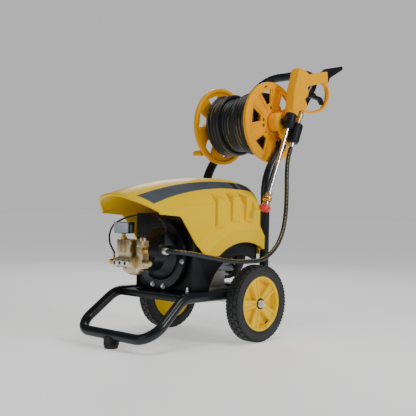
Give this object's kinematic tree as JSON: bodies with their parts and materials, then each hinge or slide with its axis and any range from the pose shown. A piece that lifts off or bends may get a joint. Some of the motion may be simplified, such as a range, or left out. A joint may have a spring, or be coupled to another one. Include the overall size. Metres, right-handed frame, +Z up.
{
  "type": "pressure washer",
  "caption": "Wheeled electric pressure washer with moulded hood, brass pump, tube frame, hose reel on a leaning handle and spray gun with lance.",
  "frame": {"origin": "on the floor, at the middle of the bounding box of everything but the free hoses", "axes": "+Z up; -Y is the front, where the pump and the crossbar foot are; +X is the side the spray gun hangs on; the wheel axle runs along X"},
  "size_m": [0.493, 0.927, 0.977],
  "materials": {
    "yellow_plastic": "satin moulded",
    "amber_plastic": "satin moulded",
    "black_steel": "semi-gloss powder coat",
    "black_plastic": "fine texture",
    "tyre_rubber": "moulded tread",
    "foot_rubber": "matt",
    "hose_rubber": "satin",
    "brass": "cast, blasted",
    "gold_brass": "machined",
    "zinc_steel": "zinc plated",
    "chrome": "bright plated",
    "aluminium": "die cast",
    "glass": "clear",
    "red_plastic": "satin moulded"
  },
  "bodies": {
    "machine": {"base_frame": "black_steel", "base_plate": "black_steel", "handle_frame": "black_steel", "motor_flange": "black_steel", "gun_clip": "black_steel", "front_foot": "foot_rubber", "hood": "yellow_plastic", "axle": "zinc_steel", "axle_nut_right": "zinc_steel", "axle_nut_left": "zinc_steel", "valve_cap_left": "zinc_steel", "valve_cap_mid": "zinc_steel", "valve_cap_right": "zinc_steel", "outlet_ferrule": "zinc_steel", "gun_ferrule": "zinc_steel", "motor_housing": "aluminium", "fan_cowl": "black_plastic", "side_panel_right": "black_plastic", "side_panel_left": "black_plastic", "bulkhead": "black_plastic", "switch_box": "black_plastic", "grip_cap": "black_plastic", "gun_collar": "black_plastic", "pump_crankcase": "brass", "pump_head": "brass", "unloader_body": "brass", "quick_socket": "brass", "gun_inlet": "brass", "inlet_fitting": "gold_brass", "outlet_nipple": "gold_brass", "gauge_stem": "gold_brass", "gauge_case": "chrome", "lance": "chrome", "gauge_lens": "glass", "connecting_hose": "hose_rubber", "thin_hose": "hose_rubber", "reel_bracket_right": "amber_plastic", "reel_bracket_left": "amber_plastic", "gun_body": "amber_plastic"},
    "wheel_right": {"tyre_right": "tyre_rubber", "rim_right": "yellow_plastic"},
    "wheel_left": {"tyre_left": "tyre_rubber", "rim_left": "yellow_plastic"},
    "rotor": {"motor_shaft": "zinc_steel", "cooling_fan": "black_plastic"},
    "pressure_knob": {"unloader_knob": "black_plastic"},
    "outlet_nut": {"outlet_coupler": "black_plastic"},
    "gun_nut": {"gun_coupler": "black_plastic"},
    "needle": {"gauge_pointer": "red_plastic"},
    "rocker": {"power_switch": "red_plastic"},
    "trigger_lever": {"trigger": "black_plastic"},
    "trigger_lock": {"safety_latch": "black_plastic"},
    "nozzle": {"spray_nozzle": "red_plastic"},
    "release_sleeve": {"quick_sleeve": "gold_brass"},
    "reel": {"reel_drum": "amber_plastic", "reel_flange_right": "amber_plastic", "reel_flange_left": "amber_plastic", "wound_hose": "hose_rubber", "crank_arm": "amber_plastic"},
    "crank_grip": {"crank_knob": "amber_plastic"}
  },
  "joints": [
    {"name": "wheel_right_spin", "type": "hinge", "parent": "machine", "child": "wheel_right", "pos_m": [0.2105, -0.0045, 0.127], "axis": [1, 0, 0], "continuous": true},
    {"name": "wheel_left_spin", "type": "hinge", "parent": "machine", "child": "wheel_left", "pos_m": [-0.2105, -0.0045, 0.127], "axis": [1, 0, 0], "continuous": true},
    {"name": "rotor_spin", "type": "hinge", "parent": "machine", "child": "rotor", "pos_m": [0, -0.0645, 0.284], "axis": [0, 1, 0], "continuous": true},
    {"name": "pressure_knob_turn", "type": "hinge", "parent": "machine", "child": "pressure_knob", "pos_m": [0.052, -0.3665, 0.38], "axis": [0, 0, 1], "range_deg": [-180, 180]},
    {"name": "outlet_nut_turn", "type": "hinge", "parent": "machine", "child": "outlet_nut", "pos_m": [0.12, -0.3655, 0.304], "axis": [1, 0, 0], "continuous": true},
    {"name": "gun_nut_turn", "type": "hinge", "parent": "machine", "child": "gun_nut", "pos_m": [0.2, 0.19901, 0.70704], "axis": [0, -0.3812, -0.9245], "continuous": true},
    {"name": "needle_turn", "type": "hinge", "parent": "machine", "child": "needle", "pos_m": [-0.022, -0.3805, 0.376], "axis": [0, 0, 1], "range_deg": [-270, 0], "stiffness_Nm_per_rad": 0.002},
    {"name": "rocker_tilt", "type": "hinge", "parent": "machine", "child": "rocker", "pos_m": [0, 0.1368, 0.422], "axis": [1, 0, 0], "range_deg": [0, 10]},
    {"name": "trigger_pull", "type": "hinge", "parent": "machine", "child": "trigger_lever", "pos_m": [0.2, 0.2475, 0.85], "axis": [1, 0, 0], "range_deg": [0, 12], "stiffness_Nm_per_rad": 1, "springref_deg": -8.59},
    {"name": "trigger_lock_swing", "type": "hinge", "parent": "trigger_lever", "child": "trigger_lock", "pos_m": [0.2, 0.2915, 0.857], "axis": [1, 0, 0], "range_deg": [0, 30]},
    {"name": "nozzle_turn", "type": "hinge", "parent": "machine", "child": "nozzle", "pos_m": [0.2, 0.04063, 0.43895], "axis": [0, -0.3812, -0.9245], "range_deg": [-90, 90]},
    {"name": "release_sleeve_slide", "type": "slide", "parent": "machine", "child": "release_sleeve", "axis": [0, 0.3812, 0.9245], "range_m": [0, 0.006], "stiffness_N_per_m": 800, "springref_m": -0.004},
    {"name": "reel_spin", "type": "hinge", "parent": "machine", "child": "reel", "pos_m": [0, 0.1635, 0.745], "axis": [1, 0, 0], "continuous": true},
    {"name": "crank_grip_spin", "type": "hinge", "parent": "reel", "child": "crank_grip", "pos_m": [-0.21, 0.1365, 0.649], "axis": [1, 0, 0], "continuous": true}
  ]
}
